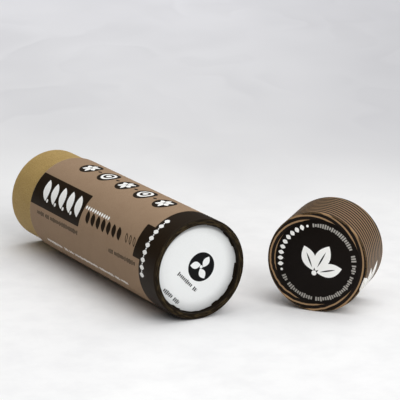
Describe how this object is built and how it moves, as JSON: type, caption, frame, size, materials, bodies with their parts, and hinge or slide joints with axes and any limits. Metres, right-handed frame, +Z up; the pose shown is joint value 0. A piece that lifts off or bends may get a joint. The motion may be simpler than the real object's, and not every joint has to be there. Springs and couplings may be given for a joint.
{
  "type": "round paper tube box with push-on cap",
  "caption": "Round paper tube box lying on its side: a long board tube with a narrower neck, and its deep push-on cap taken off and lying beside it.",
  "frame": {"origin": "on the floor, under the middle of the box that holds the tube and the cap beside it", "axes": "+Y along the tube from its closed end to its mouth, +Z up from the floor, +X towards the side where the cap lies"},
  "size_m": [0.1458, 0.2272, 0.06],
  "materials": {
    "kraft_board": "matt, fibrous, golden tan",
    "sleeve_board": "raw cut board",
    "body_print": "matt printed paper, brown with a dark band",
    "white_paper": "smooth white",
    "grey_board": "raw grey board",
    "lining_paper": "matt kraft paper",
    "cap_board": "raw kraft board",
    "striped_print": "matt printed paper, fine dark and tan stripes",
    "label_print": "near-black printed card, slight sheen"
  },
  "bodies": {
    "tube": {"inner_tube": "kraft_board", "outer_tube": "sleeve_board", "body_wrap": "body_print", "bottom_cup": "white_paper", "base_board": "grey_board", "base_lining": "lining_paper"},
    "cap": {"cap_tube": "cap_board", "cap_wrap": "striped_print", "cap_end_board": "grey_board", "cap_label": "label_print", "cap_lining": "lining_paper"}
  },
  "joints": [
    {"name": "cap_slide", "type": "slide", "parent": "tube", "child": "cap", "axis": [0.7585, 0.6517, 0], "range_m": [0, 0.028]}
  ]
}
